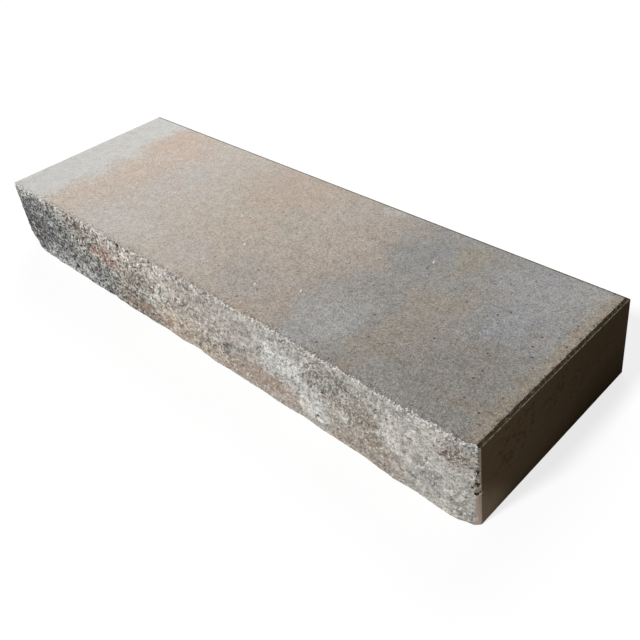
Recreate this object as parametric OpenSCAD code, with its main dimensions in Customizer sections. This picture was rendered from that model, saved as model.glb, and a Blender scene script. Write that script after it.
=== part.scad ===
// Split-face concrete step: one cast block with three moulded sides and one split face.
// Millimetres. X runs along the tread, Y from the split face (-Y) to the back (+Y), Z up.
// Origin: the middle of the footprint, on the bed the block rests on.
// The block is pressed in a mould, then split in two along a line marked by a notch at each
// end, so the front is broken stone while the tread, back, ends and bed are moulded flat.

/* [Block] */
// Length along the tread
step_l = 1219; // [900:1:1300]
// Depth from the proudest point of the split face to the back
step_d = 406; // [330:1:460]
// Height from the bed to the tread
step_h = 152; // [120:1:180]

/* [Moulded tread edge] */
// Width of the slope that leads down from the tread
chamfer_w = 3.5; // [2:0.5:6]
// Drop from the tread to the lip
chamfer_drop = 3; // [2:0.5:6]
// Width of the flat lip outside the slope
lip_w = 3; // [1.5:0.5:6]

/* [Split notches] */
// Leg of the right notch facet at the tread
right_leg_top = 3; // [2:0.5:10]
// Leg of the right notch facet at the bed
right_leg_foot = 6; // [2:0.5:14]
// Leg of the left notch facet at the tread
left_leg_top = 3; // [2:0.5:10]
// Leg of the left notch facet at the bed
left_leg_foot = 6; // [2:0.5:14]

/* [Split face] */
// How far the split line at the notches lies behind the proudest point
split_setback = 11; // [6:0.5:16]
// Share of the relief given by broad swells
swell_share = 8; // [4:0.5:12]
// Share of the relief given by the slanting ridges
ridge_share = 6; // [2:0.5:10]
// Share of the relief given by small broken facets
chip_share = 2.4; // [0.5:0.1:4]
// Angle at which the ridges fall to the right
ridge_fall = 28; // [0:1:60]
// How far the crushed top edge is broken back
arris_break = 2.5; // [1:0.5:6]
// How far the left foot of the face is broken back
foot_break = 20; // [0:0.5:24]
// How far along the foot that break reaches
foot_reach = 70; // [40:5:160]
// How far up the left end that break reaches
foot_rise = 130; // [60:5:150]
// Share of the relief that is left at the top edge and at the foot
rim_share = 0.85; // [0.4:0.05:1]
// Size of the broken facets
chip_size = 9; // [8:0.5:14]
// Which of the random faces is drawn
face_seed = 3; // [1:1:40]

/* [Hidden] */
// Wavelengths of the relief
swell_len = 190;
swell_rise = 120;
ridge_len = 120;
ridge_pitch = 42;
chip_len = 19;
break_len = 31;
// Distance over which the relief dies out toward a notch
notch_fade = 40;
// Furthest a facet corner is shifted from its even place, as a share of the spacing
scatter = 0.28;
// Clearance by which a cutting body stands out of the block
clear = 12;
// Front plane and the middle of the ends
front_y = -step_d / 2;
half_l = step_l / 2;
// Counts and spacings of the facet corners
cols = round(step_l / chip_size);
rows = round(step_h / chip_size);
dx = step_l / cols;
dz = step_h / rows;

// Even random number 0 to 1 for a pair of whole numbers and a salt
function rnd(i, j, salt) =
    let (v = sin(i * 127.1 + j * 311.7 + salt * 74.7 + face_seed * 53.3) * 43758.5453)
    v - floor(v);

// Smooth step 0 to 1
function ease(t) =
    let (c = min(1, max(0, t)))
    c * c * (3 - 2 * c);

// Smooth random field 0 to 1 with a value at each whole number
function field(u, v, salt) =
    let (
        i = floor(u),
        j = floor(v),
        a = ease(u - i),
        b = ease(v - j),
        low = rnd(i, j, salt) * (1 - a) + rnd(i + 1, j, salt) * a,
        high = rnd(i, j + 1, salt) * (1 - a) + rnd(i + 1, j + 1, salt) * a
    )
    low * (1 - b) + high * b;

// Sharp crests 0 to 1 along the lines where the random field passes its middle
function crest(u, v, salt) = 1 - abs(2 * field(u, v, salt) - 1);

// Share of the relief that is left at a distance from the notches
function notch_hold(x) = ease((half_l - abs(x)) / notch_fade);

// Break of the top edge, all of it above the tread and half of it one facet lower
function edge_break(x, z) =
    arris_break * (0.35 + 1.3 * field(x / break_len, 0.5, 5)) * ease((z - step_h + dz) / dz);

// Break of the left foot, one oblique facet that is deepest at the corner
function left_break(x, z) =
    foot_break * max(0, 1 - (x + half_l) / foot_reach - z / foot_rise);

// Share of the relief at a height, full half way up
function belly(z) = rim_share + (1 - rim_share) * sin(180 * min(1, max(0, z / step_h)));

// How proud the broken stone stands at a place, before scaling
function proud(x, z) =
    let (
        along = x * cos(ridge_fall) - z * sin(ridge_fall),
        across = x * sin(ridge_fall) + z * cos(ridge_fall),
        swell = swell_share * field(x / swell_len, z / swell_rise, 1),
        ridge = ridge_share * crest(along / ridge_len, across / ridge_pitch, 2),
        chip = chip_share * (field(x / chip_len, z / chip_len, 3) - 0.5)
    )
    (swell + ridge) * notch_hold(x) * belly(z) + chip - edge_break(x, z) - left_break(x, z);

// Corners of the broken facets as [x, proudness, z], scattered off the even grid
corners = [
    for (j = [0 : rows + 1]) [
        for (i = [0 : cols + 1])
            let (
                x = -half_l + (i - 0.5 + scatter * (2 * rnd(i, j, 7) - 1)) * dx,
                z = (j - 0.5 + scatter * (2 * rnd(i, j, 8) - 1)) * dz
            )
            [x, proud(x, z), z]
    ]
];

// Proudest corner, which is brought onto the front plane
proudest = max([for (row = corners, c = row) c[1]]);
to_size = split_setback / proudest;

// Corner moved to its true depth
function placed(c) = [c[0], front_y + split_setback - c[1] * to_size, c[2]];

// Even front end of the cutting body
function fore(x, z) = [x, front_y - clear, z];

module split_cut() {
    n = cols + 2;
    m = rows + 2;
    face_pts = [for (row = corners, c = row) placed(c)];
    fore_low = [for (c = corners[0]) fore(c[0], c[2])];
    fore_high = [for (c = corners[m - 1]) fore(c[0], c[2])];
    low0 = n * m;
    high0 = low0 + n;
    face_tris = [
        for (j = [0 : m - 2], i = [0 : n - 2])
            let (a = j * n + i, b = a + 1, c = a + n, d = c + 1)
            each (rnd(i, j, 9) < 0.5 ? [[a, b, c], [b, d, c]] : [[a, d, c], [a, b, d]])
    ];
    foot_tris = [
        for (i = [0 : n - 2])
            each [[i, low0 + i, i + 1], [i + 1, low0 + i, low0 + i + 1]]
    ];
    head_tris = [
        for (i = [0 : n - 2])
            let (a = (m - 1) * n + i, h = high0 + i)
            each [[a, a + 1, h], [a + 1, h + 1, h]]
    ];
    fore_tris = [
        for (i = [0 : n - 2])
            each [[low0 + i, high0 + i, low0 + i + 1], [low0 + i + 1, high0 + i, high0 + i + 1]]
    ];
    left_tris = [for (j = [0 : m - 2]) [low0, j * n, (j + 1) * n]];
    left_last = [[low0, (m - 1) * n, high0]];
    right_tris = [for (j = [0 : m - 2]) [low0 + n - 1, (j + 1) * n + n - 1, j * n + n - 1]];
    right_last = [[low0 + n - 1, high0 + n - 1, m * n - 1]];
    polyhedron(
        points = concat(face_pts, fore_low, fore_high),
        faces = concat(
            face_tris, foot_tris, head_tris, fore_tris,
            left_tris, left_last, right_tris, right_last
        )
    );
}

// Wedge that leaves a 45 degree notch facet at one end; side is -1 left or 1 right
module notch_cut(side, leg_top, leg_foot) {
    slope = (leg_top - leg_foot) / step_h;
    reach = split_setback + clear;
    low = leg_foot - slope * clear;
    high = leg_top + slope * clear;
    depth = front_y + split_setback;
    function ring(leg, z) = [
        [side * (half_l - leg - reach), depth - reach, z],
        [side * (half_l + clear), depth + leg + clear, z],
        [side * (half_l + clear), depth - reach, z]
    ];
    out = [[0, 1, 2], [5, 4, 3], [0, 3, 4, 1], [1, 4, 5, 2], [2, 5, 3, 0]];
    back = [for (f = out) [for (k = [len(f) - 1 : -1 : 0]) f[k]]];
    polyhedron(
        points = concat(ring(low, -clear), ring(high, step_h + clear)),
        faces = side > 0 ? back : out
    );
}

// Section of the moulded edge, drawn with the side of the block at x = 0 and the tread at y = 0
module edge_section() {
    rise = 2 * chamfer_drop;
    run = rise * chamfer_w / chamfer_drop;
    polygon([
        [-lip_w, -chamfer_drop],
        [clear, -chamfer_drop],
        [clear, rise],
        [-lip_w - chamfer_w - run, rise]
    ]);
}

module end_edge_cut() {
    translate([half_l, step_d / 2 + clear, step_h])
        rotate([90, 0, 0])
            linear_extrude(height = step_d + 3 * clear)
                edge_section();
}

module back_edge_cut() {
    translate([-half_l - clear, step_d / 2, step_h])
        rotate([90, 0, 90])
            linear_extrude(height = step_l + 2 * clear)
                edge_section();
}

module step_block() {
    color([0.72, 0.68, 0.63])
        difference() {
            translate([-half_l, front_y - clear / 2, 0])
                cube([step_l, step_d + clear / 2, step_h]);
            split_cut();
            notch_cut(1, right_leg_top, right_leg_foot);
            notch_cut(-1, left_leg_top, left_leg_foot);
            end_edge_cut();
            mirror([1, 0, 0]) end_edge_cut();
            back_edge_cut();
        }
}

step_block();
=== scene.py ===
# %% [markdown]
# # A split-face concrete step
# The real object is one long low block of pressed concrete. It is made in a mould that has
# a small rib at each end, and it is then split in two along the line between the ribs. So
# its tread, ends, back and bed are smooth cast faces, and its front is broken stone.
# This lesson loads the solid block as a fixed frame and dresses it: first the camera and
# the light, then one fine mesh that follows the solid, then its three finishes.

# %% The fixed frame
import math

import bmesh
import bpy
from mathutils import Matrix, Vector, noise
from mathutils.bvhtree import BVHTree


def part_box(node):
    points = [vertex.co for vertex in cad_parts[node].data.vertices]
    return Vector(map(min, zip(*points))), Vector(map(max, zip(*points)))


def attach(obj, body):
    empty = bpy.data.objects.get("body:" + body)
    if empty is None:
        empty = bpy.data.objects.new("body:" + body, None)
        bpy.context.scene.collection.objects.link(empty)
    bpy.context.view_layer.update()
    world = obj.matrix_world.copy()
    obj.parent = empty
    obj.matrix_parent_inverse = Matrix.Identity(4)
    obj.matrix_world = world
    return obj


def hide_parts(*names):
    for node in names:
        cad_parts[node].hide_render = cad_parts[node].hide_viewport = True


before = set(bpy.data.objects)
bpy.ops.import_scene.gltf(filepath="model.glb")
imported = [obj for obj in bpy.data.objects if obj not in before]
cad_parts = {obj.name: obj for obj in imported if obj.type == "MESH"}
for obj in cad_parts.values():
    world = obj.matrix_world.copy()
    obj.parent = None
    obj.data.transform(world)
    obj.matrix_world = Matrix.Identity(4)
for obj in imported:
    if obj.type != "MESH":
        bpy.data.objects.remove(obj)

MM = 0.001
scene = bpy.context.scene
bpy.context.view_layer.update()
low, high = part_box("step_block")
half_length = high.x
back_y = high.y
front_y = low.y
tread_z = high.z
print("block, mm:", [round(side / MM, 1) for side in high - low])

# %% [markdown]
# ## Camera
# The block is seen from its front right corner and from well above. The view is the lower
# part of a wider one, whose middle lies above the block. So the lens is shifted down a
# little, and the camera is rolled a little too.

# %% Camera
camera_place = Vector((1.0557, -0.825, 0.9751))
camera_azimuth = math.radians(47.74)
camera_elevation = math.radians(31.59)
camera_roll = math.radians(-6.54)
camera_lens = 47.76
camera_film = 36.0
camera_shift_y = -0.15

camera_data = bpy.data.cameras.new("camera")
camera_data.lens = camera_lens
camera_data.sensor_width = camera_film
camera_data.shift_y = camera_shift_y
camera = bpy.data.objects.new("camera", camera_data)
camera.matrix_world = (
    Matrix.Translation(camera_place)
    @ Matrix.Rotation(camera_azimuth, 4, "Z")
    @ Matrix.Rotation(math.pi / 2 - camera_elevation, 4, "X")
    @ Matrix.Rotation(camera_roll, 4, "Z")
)
scene.collection.objects.link(camera)
scene.camera = camera
scene.view_settings.view_transform = "Standard"
print("lens, mm:", camera_lens)

# %% [markdown]
# ## Shader sums
# A finish is easier to read as a formula than as a web of nodes. The class below wraps
# one output socket, so that `1 - mask` or `grain * 0.5` adds the Math node it needs.
# Colours go through Mix nodes, because a Math node would turn them grey.

# %% Shader sums
class Wire:
    """One output socket that can be used in a Python formula."""

    def __init__(self, tree, socket=None):
        self.tree = tree
        self.socket = socket

    def node(self, kind, settings=None, inputs=None, output=0):
        """A new node of a kind, with its settings first and then its values and links."""
        made = self.tree.nodes.new(kind)
        for name, value in (settings or {}).items():
            if name == "stops":
                ramp = made.color_ramp.elements
                while len(ramp) < len(value):
                    ramp.new(0.5)
                for element, (place, colour) in zip(ramp, value):
                    element.position = place
                    element.color = colour
            else:
                setattr(made, name, value)
        for name, value in (inputs or {}).items():
            if isinstance(value, Wire):
                self.tree.links.new(value.socket, made.inputs[name])
            else:
                made.inputs[name].default_value = value
        return Wire(self.tree, made.outputs[output])

    def sum(self, operation, first, second):
        return self.node("ShaderNodeMath", {"operation": operation}, {0: first, 1: second})

    def __add__(self, other):
        return self.sum("ADD", self, other)

    def __radd__(self, other):
        return self.sum("ADD", other, self)

    def __sub__(self, other):
        return self.sum("SUBTRACT", self, other)

    def __rsub__(self, other):
        return self.sum("SUBTRACT", other, self)

    def __mul__(self, other):
        return self.sum("MULTIPLY", self, other)

    def __rmul__(self, other):
        return self.sum("MULTIPLY", other, self)

    def step(self, start, end):
        """0 below start, 1 above end, smooth between them."""
        return self.node(
            "ShaderNodeMapRange",
            {"interpolation_type": "SMOOTHSTEP"},
            {"Value": self, "From Min": start, "From Max": end},
        )

    def mix(self, first, second):
        """first where this mask is 0 and second where it is 1."""
        return self.node(
            "ShaderNodeMix",
            {"data_type": "RGBA"},
            {0: self, 6: first, 7: second},
            output=2,
        )


def colour(red, green, blue):
    """A colour as it shows on a screen, 0 to 255, turned into the light values of a shader."""
    shown = [value / 255 for value in (red, green, blue)]
    light = [v / 12.92 if v <= 0.04045 else ((v + 0.055) / 1.055) ** 2.4 for v in shown]
    return (*light, 1.0)


def grey(value):
    """A grey of a given light value."""
    return (value, value, value, 1.0)


def new_finish(name):
    """A material with a rough Principled shader, and a wire to build its formulas from."""
    finish = bpy.data.materials.new(name)
    finish.use_nodes = True
    shader = finish.node_tree.nodes["Principled BSDF"]
    shader.inputs["Specular IOR Level"].default_value = 0.1
    return finish, shader, Wire(finish.node_tree)


print("light value of a shown grey of 85:", round(colour(85, 85, 85)[0], 3))

# %% [markdown]
# ## Light and floor
# One broad lamp stands in front, a little to the left and half way up, as a big window
# would. It lights the tread and the split face about evenly and leaves the right end in
# the shade. A wide weak lamp behind the left end fills the back, which has no window of
# its own. The floor and the world look white to the camera, but they send little light
# back at the block, so that the shaded end stays dark.

# %% Lamps
lamp_azimuth = math.radians(-12)
lamp_elevation = math.radians(42)
lamp_strength = 3.1
lamp_width = math.radians(9)
fill_azimuth = math.radians(215)
fill_elevation = math.radians(30)
fill_strength = 1.3
fill_width = math.radians(50)


def add_lamp(name, azimuth, elevation, strength, width):
    """A sun lamp that shines from an azimuth and an elevation above the floor."""
    lamp_data = bpy.data.lights.new(name, "SUN")
    lamp_data.energy = strength
    lamp_data.angle = width
    lamp = bpy.data.objects.new(name, lamp_data)
    lamp.matrix_world = Matrix.Rotation(azimuth, 4, "Z") @ Matrix.Rotation(
        math.pi / 2 - elevation, 4, "X"
    )
    scene.collection.objects.link(lamp)


add_lamp("window_light", lamp_azimuth, lamp_elevation, lamp_strength, lamp_width)
add_lamp("fill_light", fill_azimuth, fill_elevation, fill_strength, fill_width)

# %% A pale room round the block
sky_strength = 0.15


def seen_directly(wire):
    """1 for what the camera, a gloss or a glass sees straight, 0 for light on its way."""
    path = wire.node("ShaderNodeLightPath")
    outputs = path.socket.node.outputs
    camera_ray = Wire(wire.tree, outputs["Is Camera Ray"])
    glossy_ray = Wire(wire.tree, outputs["Is Glossy Ray"])
    glass_ray = Wire(wire.tree, outputs["Is Transmission Ray"])
    return camera_ray + glossy_ray + glass_ray


world = bpy.data.worlds.new("pale_room")
world.use_nodes = True
scene.world = world
sky = Wire(world.node_tree)
sky_level = seen_directly(sky) * (1 - sky_strength) + sky_strength
background = world.node_tree.nodes["Background"]
background.inputs["Color"].default_value = grey(1.0)
world.node_tree.links.new(sky_level.socket, background.inputs["Strength"])
lamp_light = lamp_strength * math.sin(lamp_elevation) / math.pi
fill_light = fill_strength * math.sin(fill_elevation) / math.pi
print("light on the tread:", round(lamp_light + fill_light + sky_strength, 2))

# %% The floor
floor_reach = 12.0
floor_reflects = 0.25
floor_spare = 0.02

floor_mesh = bpy.data.meshes.new("floor")
floor_form = bmesh.new()
bmesh.ops.create_grid(floor_form, x_segments=1, y_segments=1, size=floor_reach)
floor_form.to_mesh(floor_mesh)
floor_form.free()
floor = bpy.data.objects.new("floor", floor_mesh)
scene.collection.objects.link(floor)

floor_finish = bpy.data.materials.new("pale_floor")
floor_finish.use_nodes = True
floor_tree = floor_finish.node_tree
floor_tree.nodes.remove(floor_tree.nodes["Principled BSDF"])
ground = Wire(floor_tree)
matte = ground.node("ShaderNodeBsdfDiffuse", {}, {"Color": grey(floor_reflects)})
glow = ground.node(
    "ShaderNodeEmission",
    {},
    {
        "Color": grey(1.0),
        "Strength": seen_directly(ground) * (1 - floor_reflects + floor_spare),
    },
)
both = ground.node("ShaderNodeAddShader", {}, {0: matte, 1: glow})
floor_tree.links.new(both.socket, floor_tree.nodes["Material Output"].inputs["Surface"])
floor_mesh.materials.append(floor_finish)
print("floor, m:", 2 * floor_reach)

# %% [markdown]
# ## The skin of the block
# The solid already has the block's true form, with the broken face in facets the size of
# a fingertip. Its finer relief needs a finer mesh. One sheet is laid round the block's
# section, from the foot of the broken face up, over the tread, down the back and under the
# bed. A ray sent at the solid tells each point of the front how deep the stone lies there.

# %% The moulded edge and the columns of the skin
cell = 1.6 * MM
# distance from the side of the block and drop below the tread, in millimetres
edge_section = [(0.0, 3.5), (0.5, 3.0), (2.7, 3.0), (3.3, 2.7), (6.2, 0.3), (7.0, 0.0)]
edge_width = edge_section[-1][0] * MM
foot_round = 0.7 * MM


def edge_fall(distance):
    """How far the cast edge has dropped at a distance from the side of the block."""
    for (near, deep), (far, shallow) in zip(edge_section, edge_section[1:]):
        if distance <= far * MM:
            share = (distance / MM - near) / (far - near)
            return (deep + share * (shallow - deep)) * MM
    return 0.0


inner_half = half_length - edge_width
inner_columns = round(2 * inner_half / cell)
column_x = (
    [-half_length + distance * MM for distance, _ in edge_section]
    + [-inner_half + 2 * inner_half * i / inner_columns for i in range(1, inner_columns)]
    + [half_length - distance * MM for distance, _ in reversed(edge_section)]
)
print("columns:", len(column_x))

# %% The rows of the skin
face_rows = round(tread_z / cell)
# distances of the first tread rows behind the broken edge, in millimetres
crush_band = [0.8, 1.7, 2.7, 3.9, 5.3, 7.0, 9.0, 12.0, 18.0]
ROW_ARRIS = face_rows
ROW_BAND_END = ROW_ARRIS + len(crush_band)
ROW_BACK_LIP = ROW_BAND_END + len(edge_section)
ROW_BACK_FOOT = ROW_BACK_LIP + 1
ROW_BED = ROW_BACK_LIP + 2
ROW_BED_FRONT = ROW_BACK_LIP + 3
ROW_SEAM = ROW_BACK_LIP + 4
print("rows:", ROW_SEAM + 1)

# %% Where the stone lies
solid_form = bmesh.new()
solid_form.from_mesh(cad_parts["step_block"].data)
solid_tree = BVHTree.FromBMesh(solid_form)
solid_form.free()
hair = 0.03 * MM
ray_start = 50 * MM
lip_drop = edge_section[1][1] * MM
notch_reach = 12 * MM


def stone_at(x, z):
    """Depth of the solid's front at a place, and whether that is the moulded notch."""
    low_edge = half_length - abs(x) < edge_width
    top = tread_z - (lip_drop if low_edge else 0) - hair
    start = Vector((
        min(half_length - hair, max(hair - half_length, x)),
        front_y - ray_start,
        min(top, max(hair, z)),
    ))
    place, normal, _, _ = solid_tree.ray_cast(start, Vector((0, 1, 0)))
    near_end = half_length - abs(x) < notch_reach
    in_notch = near_end and normal.x * math.copysign(1, x) > 0.6 and abs(normal.z) < 0.3
    return place.y, in_notch


def ease(start, end, value):
    """0 below start, 1 above end, smooth between them."""
    share = min(1.0, max(0.0, (value - start) / (end - start)))
    return share * share * (3 - 2 * share)


def swing(x, z, size, salt=0.0):
    """Smooth random swing, about -1 to 1, with lumps of a given size."""
    return noise.noise(Vector((x / size + salt, z / size - salt, salt)))


print("front of the stone in the middle:", round(stone_at(0.0, 0.08)[0] / MM, 1))

# %% [markdown]
# ## Broken stone
# A split runs through the cement and round the harder stones, which leaves facets, sockets
# and lumps of every size down to sand. Waves alone would look like putty. So space is cut
# into random cells, and each cell gets a small plane with its own tilt and depth. A few
# cells become sockets, where a pebble came away with the other half, and a few become the
# round backs of pebbles that stayed.

# %% Facets, pebbles and sockets
# size and rise in millimetres of the facets and the lumps, and the facets' tilt
facet_layers = [(21.0, 0.5, 0.10), (9.0, 0.34, 0.18), (4.2, 0.24, 0.24)]
lump_layers = [(30.0, 0.6), (6.0, 0.28), (2.9, 0.26)]
crest_size, crest_depth = 14.0, 0.7
pebble_cell, pebble_size, pebble_rise = 17.0, 2.6, 0.6


def facet(x, z, size, rise, tilt, salt):
    """Depth of the small plane that lies at a place, in millimetres."""
    spot = Vector((x / size, z / size, salt))
    centre = noise.voronoi(spot)[1][0]
    lean = noise.cell_vector(centre * 71.0) - Vector((0.5, 0.5, 0.5))
    away = (spot - centre) * size
    return 2 * rise * lean.z + 2 * tilt * (away.x * lean.x + away.y * lean.y)


def pebble(x, z):
    """How much of a pebble (above 0) or of an empty socket (below 0) is at a place."""
    spot = Vector((x / pebble_cell, z / pebble_cell, 5.5))
    centre = noise.voronoi(spot)[1][0]
    kind = noise.cell_vector(centre * 53.0)
    size = pebble_size * (0.5 + 0.8 * kind.y)
    near = (spot - centre).length * pebble_cell / size
    if near >= 1 or 0.25 < kind.x < 0.85:
        return 0.0
    cap = math.sqrt(1 - near * near)
    return cap if kind.x <= 0.25 else -cap


def stone_relief(x, z):
    """How deep the stone lies behind the solid's facets, in millimetres."""
    depth = sum(
        facet(x, z, size, rise, tilt, 9.0 + n)
        for n, (size, rise, tilt) in enumerate(facet_layers)
    )
    depth += sum(
        rise * swing(x, z, size, salt=3.1 + n)
        for n, (size, rise) in enumerate(lump_layers)
    )
    slant = z + 0.5 * x
    depth += crest_depth * (abs(swing(x * 0.6, slant, crest_size, salt=17.0)) * 2 - 0.5)
    return depth - pebble_rise * pebble(x, z)


def crush_width(x):
    """How far the crushed top edge reaches at a place along it, in millimetres."""
    broad = max(0.0, swing(x, 0.0, 34.0, salt=41.0) + 0.2)
    fine = abs(swing(x, 0.0, 5.0, salt=43.0))
    return 1.0 + 5.0 * broad + 4.0 * fine


samples = [stone_relief(17.0 * n, 11.0 * n) for n in range(400)]
print("relief, mm:", round(min(samples), 1), "to", round(max(samples), 1))

# %% The sheet, laid round the block
skin = bmesh.new()
relief_layer, crush_layer, border_layer = (
    skin.verts.layers.float.new(name) for name in ("relief", "crush", "border")
)
last_column = len(column_x) - 1
bmesh.ops.create_grid(skin, x_segments=last_column, y_segments=ROW_SEAM, size=0.5)
grid_place = {
    vert: (round((vert.co.x + 0.5) * last_column), round((vert.co.y + 0.5) * ROW_SEAM))
    for vert in skin.verts
}
bed_strip = 3 * MM
stone_verts = []
for vert, (column, row) in grid_place.items():
    x = column_x[column]
    side_fall = edge_fall(half_length - abs(x))
    top = tread_z - side_fall
    if row <= ROW_ARRIS:
        z = top * row / face_rows
        y, in_notch = stone_at(x, z)
        vert.co = (x, y, z)
        if not in_notch and 0 < column < last_column:
            stone_verts.append(vert)
    elif row <= ROW_BAND_END:
        y, _ = stone_at(x, top)
        vert.co = (x, y + crush_band[row - ROW_ARRIS - 1] * MM, top)
    elif row <= ROW_BACK_LIP:
        distance, fall = edge_section[ROW_BACK_LIP - row]
        vert.co = (x, back_y - distance * MM, tread_z - max(side_fall, fall * MM))
    elif row == ROW_BACK_FOOT:
        vert.co = (x, back_y, foot_round)
    elif row == ROW_BED:
        vert.co = (x, back_y - foot_round, 0)
    else:
        y, _ = stone_at(x, 0)
        vert.co = (x, y + (bed_strip if row == ROW_BED_FRONT else 0), 0)
print("points on broken stone:", len(stone_verts))

# %% The rims of the ends are rounded a little
for vert, (column, row) in grid_place.items():
    if column in (0, last_column):
        if row > ROW_BAND_END or row < ROW_ARRIS:
            vert.co.y += foot_round * (0.5 if row < ROW_ARRIS or row > ROW_BED else -1)
        if row < 1 or row >= ROW_BED:
            vert.co.z += foot_round
print("rim rounding, mm:", foot_round / MM)

# %% The facets of the solid are softened
soft_passes = 2
inner_stone = [v for v in stone_verts if 0 < grid_place[v][1] < ROW_ARRIS]
for _ in range(soft_passes):
    bmesh.ops.smooth_vert(
        skin, verts=inner_stone, factor=0.5, use_axis_x=False, use_axis_y=True, use_axis_z=False
    )
print("points softened:", len(inner_stone))

# %% The stone is broken finer
calm_end, free_end = 2.0 * MM, 8.0 * MM
free_foot, foot_share = 9 * MM, 0.25
crumb_size, crumb_depth, crush_depth = 2.8, 1.5, 0.3
full_relief = 2.5
for vert in stone_verts:
    x, y, z = vert.co
    depth = stone_relief(x / MM, z / MM)
    width = crush_width(x / MM)
    crush = 1 - ease(0.5, 1.5 + 0.8 * width, (tread_z - z) / MM)
    fade = ease(calm_end, free_end, half_length - abs(x))
    fade *= foot_share + (1 - foot_share) * ease(0, free_foot, z)
    crumbs = crumb_depth * crush * swing(x / MM, z / MM, crumb_size, salt=61.0)
    vert.co.y = max(front_y, y + (depth * fade + crush_depth * crush * width + crumbs) * MM)
    vert[relief_layer] = depth / full_relief
    vert[crush_layer] = crush
print("stone moved back at most, mm:", round(max(v.co.y - front_y for v in stone_verts) / MM, 1))

# %% The top edge is crushed
arris_y = {grid_place[v][0]: v.co.y for v in skin.verts if grid_place[v][1] == ROW_ARRIS}
border_reach = crush_band[-1]
border_drop = 26.0
crush_slope, deepest_crush = 0.34, 1.9
for vert, (column, row) in grid_place.items():
    if row < ROW_ARRIS:
        vert[border_layer] = max(0.0, 1 - (tread_z - vert.co.z) / MM / border_drop)
    elif row <= ROW_BAND_END:
        behind = 0.0 if row == ROW_ARRIS else crush_band[row - ROW_ARRIS - 1]
        vert[border_layer] = 1 - behind / border_reach
        vert.co.y = arris_y[column] + behind * MM
        if abs(vert.co.x) >= inner_half:
            continue
        x = vert.co.x / MM
        width = crush_width(x)
        share = max(0.0, 1 - behind / width)
        rough = 0.5 + 1.3 * abs(swing(x, behind, 3.2, salt=51.0))
        vert.co.z -= min(crush_slope * width, deepest_crush) * share * rough * MM
        vert[crush_layer] = max(vert[crush_layer], min(1.0, 1.6 * share))
lowest = min(v.co.z for v in skin.verts if grid_place[v][1] == ROW_ARRIS)
print("lowest point of the top edge, mm:", round(lowest / MM, 1))

# %% The seam row is laid on the foot row
foot_place = {grid_place[v][0]: v.co.copy() for v in skin.verts if grid_place[v][1] == 0}
for vert, (column, row) in grid_place.items():
    if row == ROW_SEAM:
        vert.co = foot_place[column]
print("points on the seam:", len(foot_place))

# %% Pores at the right notch
pore_zone = 590.0
pore_depth = 0.8
# x, z and radius, in millimetres
pores = [
    (605.0, 104.0, 3.0),
    (605.5, 80.0, 3.6),
    (604.0, 62.0, 3.4),
    (609.0, 65.0, 2.6),
    (599.0, 73.0, 2.2),
]
for vert, (column, row) in grid_place.items():
    x, y, z = vert.co / MM
    if row < ROW_ARRIS and x > pore_zone:
        for pore_x, pore_z, size in pores:
            near = math.hypot(x - pore_x, z - pore_z) / size
            if near < 1:
                vert.co.y += pore_depth * size * math.sqrt(1 - near * near) * MM
print("pores:", len(pores))

# %% Which finish each patch of the sheet has
TREAD, BROKEN, MOULDED = 0, 1, 2
stone_set = set(stone_verts)
edge_steps = len(edge_section) - 1
for face in skin.faces:
    rows = sorted(grid_place[v][1] for v in face.verts)
    columns = sorted(grid_place[v][0] for v in face.verts)
    on_end_edge = columns[0] < edge_steps - 1 or columns[-1] > last_column - edge_steps + 1
    if rows[-1] <= ROW_ARRIS:
        in_stone = sum(v in stone_set for v in face.verts) >= 3
        face.material_index = BROKEN if in_stone else MOULDED
    elif rows[-1] <= ROW_BAND_END + 2 and not on_end_edge:
        face.material_index = TREAD
    else:
        face.material_index = MOULDED
    face.smooth = True
finish_of_faces = [face.material_index for face in skin.faces]
print("faces of tread, stone and sides:", [finish_of_faces.count(n) for n in range(3)])

# %% The sheet is closed into a block
bmesh.ops.remove_doubles(skin, verts=skin.verts, dist=0.01 * MM)
rims = [edge for edge in skin.edges if edge.is_boundary]
closed = bmesh.ops.edgeloop_fill(skin, edges=rims, mat_nr=MOULDED)
bmesh.ops.recalc_face_normals(skin, faces=skin.faces)
print("ends filled:", len(closed["faces"]), "open edges:", sum(e.is_boundary for e in skin.edges))

# %% Creases
crease = math.radians(24)
stone_crease = math.radians(50)
for edge in skin.edges:
    meets = {face.material_index for face in edge.link_faces}
    angle = edge.calc_face_angle(0.0)
    if meets == {BROKEN}:
        edge.smooth = angle < stone_crease
    else:
        edge.smooth = angle < crease and len(meets) == 1
print("creases:", sum(not edge.smooth for edge in skin.edges))

# %% The skin becomes a piece
block_mesh = bpy.data.meshes.new("step_stone")
skin.to_mesh(block_mesh)
skin.free()
block = bpy.data.objects.new("step_stone", block_mesh)
scene.collection.objects.link(block)
block_mesh.calc_loop_triangles()
print("triangles:", len(block_mesh.loop_triangles))

# %% [markdown]
# ## Words for the finishes
# All three finishes are mixed from the same few things: where a point is on the block, soft
# random clouds of a given size, round patches, and colours laid over one another. The
# clouds are worked out in space, so a stain runs on from one face to the next.

# %% Words for places and random values
def axes(place):
    """The x, y and z of a place, as three wires."""
    split = place.node("ShaderNodeSeparateXYZ", {}, {0: place}).socket.node
    return [Wire(place.tree, output) for output in split.outputs]


def stretched(place, scale, turn=(0, 0, 0)):
    """A place scaled along its axes, so that what is drawn on it gets longer or shorter.

    The turn, in degrees, comes after that and only picks another part of the pattern.
    """
    turn = tuple(math.radians(angle) for angle in turn)
    return place.node("ShaderNodeMapping", {}, {"Vector": place, "Rotation": turn, "Scale": scale})


def cloud(place, size, detail=2.0, rough=0.5, seed=0.0):
    """Soft random value, 0 to 1 and mostly near one half, in waves of a size in metres."""
    return place.node(
        "ShaderNodeTexNoise",
        {"noise_dimensions": "4D"},
        {"Vector": place, "W": seed, "Scale": 1 / size, "Detail": detail, "Roughness": rough},
    )


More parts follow.
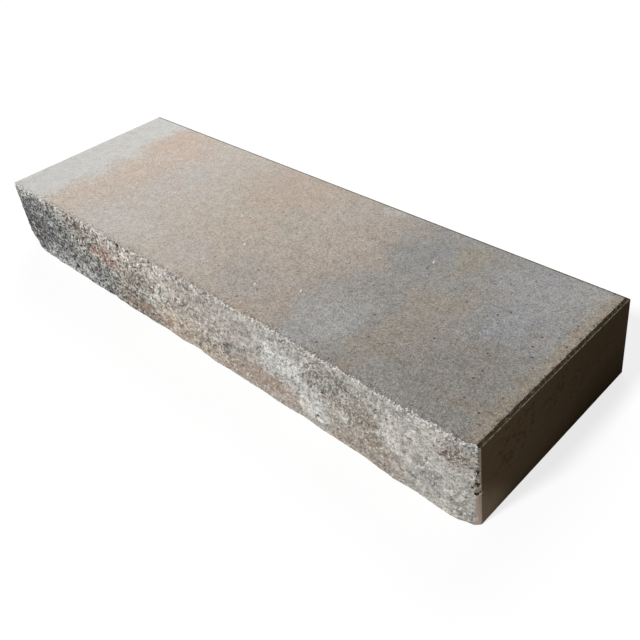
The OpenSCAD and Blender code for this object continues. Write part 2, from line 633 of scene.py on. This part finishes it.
def sway(place, size, detail=2.0, rough=0.5, seed=0.0):
    """The same waves as a cloud has, but to both sides of 0."""
    return cloud(place, size, detail, rough, seed) - 0.5


def flakes(place, size):
    """A random value, 0 to 1, for each of the cells of a size in metres."""
    random_colour = place.node(
        "ShaderNodeTexVoronoi", {}, {"Vector": place, "Scale": 1 / size}, "Color"
    )
    return axes(random_colour)[0]


def dots(place, size):
    """The distance to the nearest of many scattered points, in cells of a size."""
    return place.node(
        "ShaderNodeTexVoronoi", {}, {"Vector": place, "Scale": 1 / size}, "Distance"
    )


def attribute(wire, name):
    """A value that was stored on the points of the mesh."""
    return wire.node("ShaderNodeAttribute", {"attribute_name": name}, {}, "Fac")


print("stored on the points: relief, crush, border")

# %% Words for masks and colours
def total(wires):
    """The sum of several wires."""
    first, *rest = wires
    return sum(rest, first)


def patch(across, along, centre, reach):
    """1 at the centre of a soft round patch and 0 outside its reach."""
    u = (across - centre[0]) * (1 / reach[0])
    v = (along - centre[1]) * (1 / reach[1])
    return 1 - (u * u + v * v).step(0.0, 1.0)


def lay_patches(surface, across, along, patches):
    """Lay soft patches over a colour, each with its centre, reach, shade and strength."""
    for _, centre, reach, shade, strength in patches:
        share = patch(across, along, centre, reach) * strength
        surface = share.mix(surface, colour(*shade))
    return surface


def pour(place, stops, start, end):
    """Colours poured side by side along one direction."""
    share = (place - start) * (1 / (end - start))
    ramp = [((at - start) / (end - start), colour(*shade)) for at, shade in stops]
    return share.node("ShaderNodeValToRGB", {"stops": ramp}, {0: share}, "Color")


def tint(surface, by):
    """A colour made lighter or darker by a value."""
    return surface.node(
        "ShaderNodeMix",
        {"data_type": "RGBA", "blend_type": "MULTIPLY"},
        {0: 1.0, 6: surface, 7: by},
        output=2,
    )


def scattered_pores(place, size, rim, share):
    """1 inside small round pores, which a share of the cells of a size have."""
    return dots(place, size).step(*rim) * (share - flakes(place, size)).step(-0.01, 0.01)


def pore_shade_mask(place):
    """1 inside the ragged pores beside the right notch, where their shade is painted dark."""
    across, _, up = axes(place)
    across = across + sway(place, 0.003) * 0.004
    up = up + sway(place, 0.003, seed=2.0) * 0.004
    return total(
        patch(across, up, (x * MM, z * MM), (size * MM, 1.4 * size * MM)).step(0.15, 0.4)
        for x, z, size in pores
    )


def apply_finish(finish, shader, surface, roughness, height, strength, depth):
    """Feed a finish's shader, with a bump of a depth in metres, and put it on the block."""
    bump = height.node(
        "ShaderNodeBump", {}, {"Strength": strength, "Distance": depth, "Height": height}
    )
    for socket, wire in (("Base Color", surface), ("Roughness", roughness), ("Normal", bump)):
        wire.tree.links.new(wire.socket, shader.inputs[socket])
    block_mesh.materials.append(finish)
    print("nodes in", finish.name, "-", len(finish.node_tree.nodes))


print("ragged pores:", len(pores))

# %% [markdown]
# ## The cast tread
# The mould is filled with a few batches of mix in different colours, which meet in wavy
# soft borders: pale grey at the left, then pink, buff and tan, and blue grey at the right.
# On top of that comes the sand in the cement. It shows as fine light and dark grain,
# coarser to the right, with a few open pores and a few pale chips of stone. A ramp along
# the block would give straight bands, so its place is first swayed by slow clouds.

# %% Colours of the tread
tread_finish, tread_shader, tread = new_finish("cast_tread")
tread_place = tread.node("ShaderNodeTexCoord", {}, {}, "Object")
tx, ty, _ = axes(tread_place)
drift_x = sway(tread_place, 0.16) * 0.12 + sway(tread_place, 0.035, 4.0, 0.7) * 0.08
drift_y = sway(tread_place, 0.09, 4.0, 0.65) * 0.2
wavy_x, wavy_y = tx + drift_x, ty + drift_y
# place along the tread in metres, and the colour of the mix there
tread_pours = [
    (-0.51, (208, 207, 203)),
    (-0.475, (204, 197, 188)),
    (-0.44, (203, 190, 178)),
    (-0.37, (199, 186, 175)),
    (-0.29, (196, 188, 180)),
    (-0.18, (191, 181, 171)),
    (-0.05, (185, 174, 161)),
    (0.08, (178, 168, 158)),
    (0.17, (173, 162, 151)),
    (0.26, (151, 148, 143)),
    (0.40, (147, 145, 141)),
    (0.56, (146, 144, 140)),
]
tread_colour = pour(wavy_x, tread_pours, -0.62, 0.62)
print("pours on the tread:", len(tread_pours))

# %% Patches on the tread
# name, centre and reach in metres, colour and strength
tread_patches = [
    ("pink, back left", (-0.455, 0.13), (0.08, 0.085), (203, 182, 166), 0.6),
    ("pink, middle left", (-0.43, -0.01), (0.08, 0.07), (202, 184, 170), 0.5),
    ("pink, front left", (-0.43, -0.125), (0.08, 0.075), (203, 186, 173), 0.5),
    ("grey front, left", (-0.27, -0.16), (0.16, 0.07), (197, 192, 186), 0.7),
    ("lilac grey", (-0.30, 0.02), (0.08, 0.09), (192, 187, 182), 0.6),
    ("warm back", (-0.06, 0.13), (0.14, 0.10), (185, 167, 154), 0.6),
    ("mauve front", (-0.06, -0.14), (0.07, 0.07), (190, 182, 178), 0.6),
    ("green grey", (0.0, 0.03), (0.06, 0.06), (170, 165, 156), 0.45),
    ("grey front", (0.10, -0.13), (0.08, 0.06), (166, 161, 157), 0.5),
    ("pale back edge", (0.16, 0.185), (0.035, 0.03), (180, 179, 172), 0.7),
    ("pale blue", (0.265, -0.125), (0.085, 0.11), (168, 168, 167), 0.65),
    ("tan, upper", (0.38, 0.005), (0.075, 0.075), (154, 145, 134), 0.8),
    ("tan, lower", (0.39, -0.115), (0.075, 0.09), (151, 143, 132), 0.85),
    ("dark grey, back right", (0.26, 0.10), (0.07, 0.10), (138, 139, 136), 0.5),
    ("olive", (0.365, 0.145), (0.05, 0.05), (152, 146, 131), 0.75),
    ("lavender back", (0.49, 0.13), (0.10, 0.08), (156, 155, 156), 0.7),
    ("pale back right", (0.57, 0.17), (0.06, 0.07), (158, 156, 152), 0.7),
    ("lavender", (0.525, 0.03), (0.07, 0.08), (149, 149, 152), 0.6),
    ("dark front right", (0.54, -0.11), (0.15, 0.14), (137, 133, 126), 0.8),
]
tread_colour = lay_patches(tread_colour, wavy_x, wavy_y, tread_patches)
print("patches on the tread:", len(tread_patches))

# %% Warm and cool drifts of the tread
lengthwise = stretched(tread_place, (0.55, 1.3, 1.0), (0, 0, 24))
tread_hue = cloud(lengthwise, 0.045, 5.0, 0.68, seed=9.0)
to_blue = tx.step(0.0, 0.35)
warm_hue = to_blue.mix(colour(194, 171, 154), colour(152, 135, 118))
cool_hue = to_blue.mix(colour(184, 180, 176), colour(146, 150, 156))
warm_share = tread_hue.step(0.53, 0.68) * (0.3 + to_blue * 0.15)
cool_share = tread_hue.step(0.47, 0.33) * (0.25 + to_blue * 0.15)
tread_colour = warm_share.mix(tread_colour, warm_hue)
tread_colour = cool_share.mix(tread_colour, cool_hue)
end_share = (tx + sway(tread_place, 0.02) * 0.04).step(0.57, 0.603) * 0.8
tread_colour = end_share.mix(tread_colour, colour(149, 137, 121))
print("colours are laid on, nodes so far:", len(tread.tree.nodes))

# %% Sand of the tread
coarse = tx.step(-0.55, 0.45)
at_left = tx.step(-0.15, -0.45) - tx.step(-0.47, -0.54) * 1.8
sand = sway(tread_place, 0.0021, 1.0, 0.6)
fine_sand = sway(tread_place, 0.0011, 0.0)
clouds = sway(tread_place, 0.022, 3.0, 0.6)
mottles = sway(tread_place, 0.0075, 2.0, 0.6)
tread_grain = (
    0.965
    + ty * 0.4
    + sand * (1.0 + coarse * 0.7 + at_left * 0.35)
    + fine_sand * (0.5 + coarse * 0.5 + at_left * 0.2)
    + mottles * (0.34 + coarse * 0.3 + at_left * 0.2)
    + clouds * (0.34 + coarse * 0.1)
)
tread_colour = tint(tread_colour, tread_grain)
grit = flakes(tread_place, 0.0026)
dark_grit = grit.step(0.955, 0.965) * (0.12 + coarse * 0.33)
pale_grit = grit.step(0.035, 0.029) * (0.26 - coarse * 0.12)
tread_colour = dark_grit.mix(tread_colour, colour(92, 86, 78))
tread_colour = pale_grit.mix(tread_colour, colour(225, 220, 208))
print("sand is laid on, nodes so far:", len(tread.tree.nodes))

# %% Pores and chips of the tread
small_share = 0.10 + coarse * 0.20 + tx.step(0.53, 0.60) * 0.5
wide_share = 0.05 + coarse * 0.10 + tx.step(0.50, 0.60) * 0.45
small_pores = scattered_pores(tread_place, 0.0095, (0.13, 0.08), small_share)
wide_pores = scattered_pores(tread_place, 0.0135, (0.17, 0.11), wide_share)
tread_pores = small_pores + wide_pores
# the pores are painted dark, as the shade inside them
tread_colour = (tread_pores * (0.35 + coarse * 0.45)).mix(tread_colour, colour(56, 50, 44))
chip_reach, chip_lean = (0.0022, 0.0048), 0.5
chips = [(-0.08, 0.009), (0.0, -0.055), (0.108, -0.127), (0.185, -0.093), (0.309, 0.101)]
for chip_x, chip_y in chips:
    chip = patch(tx + (ty - chip_y) * chip_lean, ty, (chip_x, chip_y), chip_reach)
    tread_colour = (chip.step(0.15, 0.6) * 0.8).mix(tread_colour, colour(226, 222, 212))
print("pale chips:", len(chips))

# %% The broken edges of the tread
tread_crush = attribute(tread, "crush")
tread_border = attribute(tread, "border")
end_crumbs = sway(tread_place, 0.005, 2.0, 0.7, seed=6.0)
end_band = tx.step(half_length - 14 * MM, half_length - 6 * MM)
end_limit = tx.step(half_length - 16 * MM, half_length - 12 * MM)
torn_end = (end_band + end_crumbs * 5.0).step(0.85, 1.25) * end_limit * 0.7
tread_colour = torn_end.mix(tread_colour, colour(78, 68, 57))
front_crumbs = sway(tread_place, 0.004)
torn_front = (tread_border + front_crumbs * 4.0).step(0.75, 1.1)
torn_front = torn_front * (tread_border * 2).step(0.0, 1.0) * 0.65
tread_colour = torn_front.mix(tread_colour, colour(96, 88, 80))
white_crumbs = sway(tread_place, 0.0036, 2.0, 0.6, seed=4.0)
tread_dust = (tread_crush * 0.5 + tread_border * 0.5 + white_crumbs * 3.4).step(0.85, 1.1)
tread_dust = tread_dust * (0.45 + tx.step(-0.1, 0.2) * 0.3)
tread_colour = tread_dust.mix(tread_colour, colour(230, 228, 224))
print("edges are broken, nodes so far:", len(tread.tree.nodes))

# %% The tread's finish goes on
tread_rough = sand * 0.3 + 0.86
tread_height = sand * 0.5 + fine_sand * 0.3 + clouds * 0.5 - tread_pores * 1.2
apply_finish(tread_finish, tread_shader, tread_colour, tread_rough, tread_height, 0.6, 0.8 * MM)

# %% [markdown]
# ## The finish of the broken stone
# The break shows the batches of mix in depth: charcoal at the left, mid grey, then a light
# tan grey with brown along the foot. It is speckled all over, because it runs through sand,
# pebbles and cement alike, coarsely at the left and finely at the right. Hollows hold dust
# and painted shade, and the crests get a painted highlight. What stands proud is painted
# lighter and what lies deep darker, as painted light and shade. Bright crushed cement lines
# the top edge. The mesh carries how deep each point lies, so the dust and the painted shade
# settle where the hollows are.

# %% Colours of the broken stone
stone_finish, stone_shader, stone = new_finish("broken_stone")
stone_place = stone.node("ShaderNodeTexCoord", {}, {}, "Object")
lying = stretched(stone_place, (0.6, 1.0, 1.5), (0, -30, 0))
sx, sy, sz = axes(stone_place)
stone_drift = sway(lying, 0.07, 3.0) * 0.16 + sway(lying, 0.018, 3.0) * 0.07
batch_x = sx + sz * 1.7 + stone_drift
# place along the block, where the slanting batch meets the bed, and the colour of the mix
stone_pours = [
    (-0.34, (112, 113, 115)),
    (-0.27, (122, 123, 122)),
    (-0.20, (140, 139, 135)),
    (-0.13, (158, 153, 145)),
    (-0.04, (176, 170, 160)),
    (0.06, (190, 184, 175)),
    (0.16, (186, 180, 171)),
    (0.26, (178, 172, 164)),
    (0.40, (178, 174, 167)),
    (0.54, (170, 166, 158)),
    (0.70, (175, 172, 165)),
    (0.86, (175, 172, 166)),
]
stone_colour = pour(batch_x, stone_pours, -0.6, 0.9)
print("pours on the stone:", len(stone_pours))

# %% Patches on the broken stone
wavy_sx = sx + stone_drift * 0.5 + sway(stone_place, 0.01, 3.0, 0.6, seed=21.0) * 0.05
wavy_sz = sz + sway(lying, 0.03, 3.0) * 0.05
wavy_sz = wavy_sz + sway(stone_place, 0.01, 3.0, 0.6, seed=23.0) * 0.04
# name, centre and reach along the block and up it, colour and strength
stone_patches = [
    ("grey foot, left", (-0.52, 0.0), (0.12, 0.036), (162, 162, 160), 0.7),
    ("grey foot, middle left", (-0.42, 0.005), (0.16, 0.045), (174, 174, 172), 0.7),
    ("pale top, left", (-0.59, 0.148), (0.08, 0.02), (190, 190, 188), 0.7),
    ("rusty spot, upper", (-0.352, 0.13), (0.03, 0.018), (126, 108, 100), 0.7),
    ("rusty spot", (-0.257, 0.104), (0.06, 0.034), (160, 138, 126), 0.65),
    ("brown shade", (-0.15, 0.095), (0.07, 0.032), (130, 120, 109), 0.75),
    ("green grey", (-0.29, 0.09), (0.05, 0.03), (146, 149, 138), 0.5),
    ("grey field, left", (-0.36, 0.085), (0.055, 0.04), (190, 186, 178), 0.4),
    ("dark core", (-0.58, 0.06), (0.105, 0.068), (70, 72, 75), 0.95),
    ("rusty foot, left", (-0.19, 0.022), (0.10, 0.036), (158, 144, 132), 0.6),
    ("pale streak, left", (-0.13, 0.06), (0.055, 0.016), (190, 192, 184), 0.8),
    ("pale streak, upright", (-0.085, 0.075), (0.02, 0.06), (200, 196, 188), 0.8),
    ("pink top, middle left", (-0.09, 0.135), (0.06, 0.022), (198, 184, 177), 0.55),
    ("pink, middle", (0.0, 0.10), (0.09, 0.045), (188, 175, 166), 0.55),
    ("tan, middle", (-0.04, 0.045), (0.08, 0.03), (178, 163, 146), 0.55),
    ("warm foot, middle", (0.02, 0.02), (0.16, 0.03), (178, 162, 145), 0.7),
    # the dark hole is painted shade inside a hole in the break
    ("dark hole", (0.088, 0.05), (0.02, 0.013), (96, 96, 96), 0.8),
    ("rusty foot, right", (0.19, 0.03), (0.10, 0.03), (174, 158, 145), 0.6),
    ("pale field", (0.235, 0.09), (0.07, 0.05), (202, 202, 198), 0.75),
    ("pale streak, slanted", (0.30, 0.05), (0.05, 0.04), (210, 209, 205), 0.85),
    ("pale top", (0.29, 0.125), (0.05, 0.03), (186, 183, 176), 0.6),
    ("tan field", (0.435, 0.07), (0.075, 0.05), (154, 144, 132), 0.7),
    ("brown foot", (0.38, 0.015), (0.09, 0.025), (160, 147, 134), 0.6),
    ("grey shade, right", (0.35, 0.125), (0.045, 0.028), (154, 152, 147), 0.35),
    ("grey shade, notch foot", (0.535, 0.03), (0.04, 0.03), (158, 158, 154), 0.5),
    ("pale streak, right", (0.465, 0.085), (0.02, 0.07), (202, 200, 196), 0.65),
    ("pale patch, right", (0.50, 0.05), (0.05, 0.04), (172, 170, 164), 0.6),
    ("brown at the notch", (0.574, 0.12), (0.035, 0.028), (158, 146, 134), 0.5),
]
stone_colour = lay_patches(stone_colour, wavy_sx, wavy_sz, stone_patches)
stone_hue = cloud(lying, 0.035, 4.0, 0.65, seed=3.0)
stone_colour = (stone_hue.step(0.46, 0.36) * 0.4).mix(stone_colour, colour(150, 154, 144))
stone_colour = (stone_hue.step(0.54, 0.64) * 0.35).mix(stone_colour, colour(176, 156, 146))
print("patches on the stone:", len(stone_patches))

# %% Speckle of the broken stone
darkness = 1 - batch_x.step(-0.28, -0.08)
coarse_side = sx.step(0.0, -0.28)
fine_side = (sx + sway(stone_place, 0.05) * 0.3).step(0.06, 0.2)
upright = stretched(stone_place, (1.5, 1.0, 0.5), (0, 8, 0))
mottle = sway(lying, 0.022, 4.0, 0.7)
strokes = sway(upright, 0.02, 4.0, 0.65, seed=5.0)
broad_light = sway(lying, 0.05, 2.0, 0.5, seed=6.0)
speckle = sway(stone_place, 0.011, 3.0, 0.75)
fine_speckle = sway(stone_place, 0.0055, 2.0, 0.75, seed=1.0)
pebbly = flakes(stone_place, 0.0067) - 0.5
broad_sand = flakes(stone_place, 0.0036) - 0.5
small_sand = flakes(stone_place, 0.0023) - 0.5
stone_grain = 1 + mottle * (1.4 + coarse_side * 0.5 - fine_side * 0.1) + broad_light * 0.8
stone_grain = stone_grain + strokes * (coarse_side * 0.5 + fine_side * 1.6)
stone_grain = stone_grain + speckle * (0.7 + coarse_side * 0.9)
stone_grain = stone_grain + fine_speckle * (0.9 + darkness * 1.0)
stone_grain = stone_grain + broad_sand * (1 - fine_side) * (0.7 + coarse_side * 1.0)
stone_grain = stone_grain + small_sand * fine_side * 0.6
stone_grain = stone_grain + pebbly * (1 - fine_side) * (0.14 + darkness * 0.3)
# painted light and shade of the relief: what stands 6 mm back keeps its colour, what is prouder is
# painted lighter and what lies deeper darker
stone_grain = stone_grain + (front_y + 6 * MM - sy) * 22
stone_colour = tint(stone_colour, stone_grain)
print("speckle is laid on, nodes so far:", len(stone.tree.nodes))

# %% Dark and pale flecks
broad_fleck = flakes(stone_place, 0.0045) + mottle * 0.8
fine_fleck = flakes(stone_place, 0.0027) + mottle * 0.6
dark_start = 0.90 - coarse_side * 0.09
pale_start = 0.10 + coarse_side * 0.05
dark_flecks = broad_fleck.step(dark_start, dark_start + 0.03) * (1 - fine_side)
dark_flecks = dark_flecks + fine_fleck.step(0.92, 0.95) * fine_side
dark_flecks = dark_flecks * (0.56 + coarse_side * 0.26)
pale_flecks = broad_fleck.step(pale_start, pale_start - 0.03) * (1 - fine_side)
pale_flecks = pale_flecks + fine_fleck.step(0.10, 0.07) * fine_side
pale_flecks = pale_flecks * (0.5 - darkness * 0.14)
stone_colour = dark_flecks.mix(stone_colour, colour(64, 60, 57))
stone_colour = pale_flecks.mix(stone_colour, colour(226, 226, 222))
print("flecks are laid on, nodes so far:", len(stone.tree.nodes))

# %% Clusters of coloured specks
# name, centre and reach along the block and up it, colour and strength
speck_clusters = [
    ("rust at the notch", (0.572, 0.122), (0.032, 0.024), (84, 68, 57), 0.7),
    ("rust, upper left", (-0.352, 0.13), (0.06, 0.036), (92, 76, 68), 0.7),
    ("rust, left", (-0.255, 0.104), (0.06, 0.04), (154, 112, 96), 0.65),
    ("brown, left foot", (-0.17, 0.03), (0.12, 0.06), (96, 84, 74), 0.5),
    ("rust, left foot", (-0.10, 0.02), (0.12, 0.05), (160, 130, 109), 0.6),
    ("brown, middle", (0.09, 0.05), (0.06, 0.035), (74, 72, 70), 0.45),
    ("rust, middle foot", (0.17, 0.035), (0.12, 0.05), (154, 128, 108), 0.5),
    ("brown, upper right", (0.33, 0.105), (0.06, 0.05), (84, 76, 69), 0.6),
    ("brown, right", (0.41, 0.09), (0.055, 0.05), (98, 89, 80), 0.5),
    ("rust, right foot", (0.42, 0.03), (0.12, 0.05), (146, 124, 107), 0.5),
]
broad_kind = flakes(stone_place, 0.0049)
fine_kind = flakes(stone_place, 0.0031)
fine_from = 0.14
for _, centre, reach, shade, strength in speck_clusters:
    within = patch(wavy_sx, wavy_sz, centre, reach)
    cluster_kind = fine_kind if centre[0] > fine_from else broad_kind
    picked = (within * 0.5 - cluster_kind).step(0.0, 0.05)
    stone_colour = (picked * strength).mix(stone_colour, colour(*shade))
print("clusters of specks:", len(speck_clusters))

# %% Veins, hollows and crests
vein = sway(lying, 0.06, 4.0, 0.55, seed=13.0)
vein_zone = cloud(stone_place, 0.05, 2.0, 0.5, seed=15.0).step(0.48, 0.56)
vein_line = (vein * vein).step(0.00025, 0.00005) * vein_zone
stone_colour = (vein_line * 0.5).mix(stone_colour, colour(222, 219, 212))
relief = attribute(stone, "relief")
hollow_dust_and_shade = relief.step(0.2, 1.2)
crest_highlight = relief.step(-0.1, -1.0)
# dust and painted shade in the hollows
stone_colour = (hollow_dust_and_shade * 0.34).mix(stone_colour, colour(84, 78, 70))
# painted highlight on the crests
stone_colour = (crest_highlight * 0.2).mix(stone_colour, colour(212, 210, 204))
print("hollows are dusted, nodes so far:", len(stone.tree.nodes))

# %% The crushed top edge of the stone
to_right = sx.step(-0.02, 0.2)
rim_band = 1 - (1 - attribute(stone, "border")) * (1 + to_right * 1.5)
rim_band = rim_band + sway(stone_place, 0.03, 2.0) * 0.9
rim_limit = (rim_band * 3).step(0.0, 1.0)


def torn(broad_size, fine_size, seed, strength):
    """1 on the crumbs along the rim, which are broad at the left and fine at the right."""
    broad = cloud(stone_place, broad_size, 2.0, 0.7, seed=seed) * (1 - to_right)
    fine = cloud(stone_place, fine_size, 2.0, 0.7, seed=seed + 1.0) * to_right
    crumbs = broad + fine - 0.5
    return (rim_band * 0.75 + crumbs * strength).step(0.45, 0.8) * rim_limit


dark_crumbs = torn(0.0080, 0.0046, 17.0, 4.6) * (0.62 - to_right * 0.15)
pale_crumbs = torn(0.0074, 0.0042, 19.0, 3.8) * (0.75 - to_right * 0.03)
stone_colour = pale_crumbs.mix(stone_colour, colour(230, 227, 223))
stone_colour = dark_crumbs.mix(stone_colour, colour(74, 66, 61))
# painted shade inside the pores beside the right notch
stone_colour = pore_shade_mask(stone_place).mix(stone_colour, colour(44, 38, 32))
print("the rim is crushed, nodes so far:", len(stone.tree.nodes))

# %% The stone's finish goes on
stone_rough = speckle * 0.2 + 0.92
stone_height = speckle + fine_speckle * 0.6 + mottle * 0.6
apply_finish(stone_finish, stone_shader, stone_colour, stone_rough, stone_height, 0.7, 1.2 * MM)

# %% [markdown]
# ## Moulded sides
# The ends, the back and the bed touched the steel of the mould, so they are smooth and a
# little stained. They are pale at the left and grey brown at the right. The right end is
# painted the darkest, partly in its own brown and partly as painted shade, which deepens
# towards its back and its foot, with a sweep of painted light at its lower front and small
# rusty smudges higher up.
# The narrow slope and the lip below the tread are rough, and painted dark as the shade in the
# groove under the tread's edge, and the outer rim of the lip is painted paler. One finish
# does for all of them: it tells the faces apart by where they lie and by which way they face.

# %% Colours of the moulded sides
side_finish, side_shader, side = new_finish("moulded_side")
side_shader.inputs["Specular IOR Level"].default_value = 0.0
side_place = side.node("ShaderNodeTexCoord", {}, {}, "Object")
mx, my, mz = axes(side_place)
side_drift = sway(side_place, 0.12, 3.0) * 0.2
# place along the block in metres, and the colour of the mix there
side_pours = [
    (-0.60, (186, 182, 174)),
    (-0.42, (176, 164, 151)),
    (0.05, (166, 154, 141)),
    (0.30, (144, 138, 130)),
    (0.60, (136, 130, 122)),
]
side_colour = pour(mx + side_drift * 0.5, side_pours, -0.62, 0.62)
print("pours on the sides:", len(side_pours))

# %% Painted shade, painted light and smudges of the right end
at_right_end = mx.step(half_length - 9.5 * MM, half_length - 2.5 * MM)
# the right end is painted dark brown: partly its own colour, partly painted shade
side_colour = at_right_end.mix(side_colour, colour(127, 107, 82))
# a sweep of painted light at the lower front of the right end
painted_light_sweep = patch(my + mz * 0.5, mz, (-0.215, -0.01), (0.12, 0.13))
side_colour = (painted_light_sweep * at_right_end * 0.85).mix(side_colour, colour(194, 172, 145))
# painted shade at the back foot of the right end
painted_shade_foot = patch(my, mz, (0.2, -0.01), (0.22, 0.10))
side_colour = (painted_shade_foot * at_right_end * 0.5).mix(side_colour, colour(84, 70, 50))
# painted shade: the right end is made darker towards the back
side_colour = tint(side_colour, 1 - at_right_end * my.step(-0.24, 0.14) * 0.4)
# place across the block and up it, and reach
smudge_places = [
    (-0.125, 0.09, 0.05),
    (-0.085, 0.112, 0.045),
    (-0.015, 0.11, 0.035),
    (0.055, 0.092, 0.04),
    (0.13, 0.1, 0.03),
]
ragged_y = my + sway(side_place, 0.035, 4.0, 0.7, seed=3.0) * 0.16
ragged_z = mz + sway(side_place, 0.035, 4.0, 0.7, seed=4.0) * 0.12
smudged = total(
    patch(ragged_y, ragged_z, (y, z), (reach * 1.2, reach)) for y, z, reach in smudge_places
)
specks = sway(side_place, 0.009, 3.0, 0.75, seed=9.0)
smudges = (smudged.step(0.0, 1.0) * 0.5 + specks * 3.0).step(0.5, 0.75)
smudges = smudges * smudged.step(0.0, 0.3)
side_colour = (smudges * at_right_end * 0.5).mix(side_colour, colour(90, 52, 40))
print("smudges:", len(smudge_places))

# %% Stains, pinholes and sand of the sides
streaks = stretched(side_place, (0.35, 0.35, 1.6))
stains = sway(streaks, 0.03, 4.0, 0.6, seed=2.0)
side_colour = tint(side_colour, 1 + stains * (1 - at_right_end) * 0.7)
# the pinholes are painted dark, as the shade inside them
pinholes = dots(side_place, 0.011).step(0.14, 0.09) * flakes(side_place, 0.011).step(0.3, 0.28)
side_colour = (pinholes * (0.65 - at_right_end * 0.3)).mix(side_colour, colour(60, 54, 47))
side_sand = sway(side_place, 0.0018, 1.0)
side_mottle = sway(side_place, 0.009, 3.0)
side_colour = tint(side_colour, 1 + side_sand * 0.22 + side_mottle * 0.22)
print("sand is laid on, nodes so far:", len(side.tree.nodes))

# %% Slope and lip under the tread
facing = side.node("ShaderNodeNewGeometry", {}, {}, "Normal")
_, fy, fz = axes(facing)
near_top = mz.step(tread_z - lip_drop - 0.7 * MM, tread_z - lip_drop - 0.2 * MM)
lip = fz.step(0.9, 0.97) * near_top
slope = near_top * fz.step(0.3, 0.6) * (1 - lip)
# painted shade: the slope and the lip under the tread's edge are painted dark, as the shade in the
# groove
side_colour = ((slope + lip).step(0.2, 0.8) * 0.9).mix(side_colour, colour(50, 43, 34))
slope_grains = cloud(side_place, 0.0045, 2.0, 0.7, seed=5.0).step(0.54, 0.62)
side_colour = (slope * slope_grains * 0.5).mix(side_colour, colour(132, 122, 108))
edge_rough = sway(side_place, 0.004, 2.0) * 1.6
rim_x = mx.step(half_length - 1.7 * MM, half_length - 1.3 * MM)
rim_y = my.step(back_y - 1.7 * MM, back_y - 1.3 * MM)
# the outer rim of the lip is painted paler
pale_lip_rim = (rim_x + rim_y).step(0.2, 0.8) * lip
side_colour = (pale_lip_rim * (0.45 + edge_rough * 1.8)).mix(side_colour, colour(148, 135, 115))
print("lip and slope are done, nodes so far:", len(side.tree.nodes))

# %% The split notches
# height in metres and colour, from the foot up
notch_pours = [(0.0, (190, 172, 158)), (0.06, (158, 146, 132)), (0.15, (146, 138, 124))]
on_notch = (0 - fy).step(0.5, 0.62)
notch_colour = tint(pour(mz, notch_pours, 0.0, 0.16), 1 + side_sand * 0.4 + edge_rough * 0.15)
side_colour = on_notch.mix(side_colour, notch_colour)
torn_notch = (half_length - 0.7 * MM - mx + edge_rough * 0.004).step(0.001, 0.0016)
torn_notch = torn_notch * mz.step(0.05, 0.10) * on_notch * mx.step(0.5, 0.6)
torn_shade = cloud(side_place, 0.005, 2.0, 0.7, seed=8.0).step(0.4, 0.62)
torn_shade = torn_shade.mix(colour(92, 84, 76), colour(205, 200, 192))
side_colour = (torn_notch * 0.85).mix(side_colour, torn_shade)
at_front = my.step(front_y + 17 * MM, front_y + 15 * MM)
# painted shade inside the pores beside the right notch, on the notch face
side_colour = (pore_shade_mask(side_place) * at_front).mix(side_colour, colour(56, 48, 40))
print("notches are done, nodes so far:", len(side.tree.nodes))

# %% The sides' finish goes on
side_rough = side_mottle * 0.3 + 0.75
side_height = side_sand + side_mottle
apply_finish(side_finish, side_shader, side_colour, side_rough, side_height, 0.3, 0.6 * MM)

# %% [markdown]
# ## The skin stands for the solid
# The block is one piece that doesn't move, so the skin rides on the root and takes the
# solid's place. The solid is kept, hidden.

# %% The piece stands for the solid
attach(block, "root")
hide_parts("step_block")
print("shown in place of the solid:", block.name)
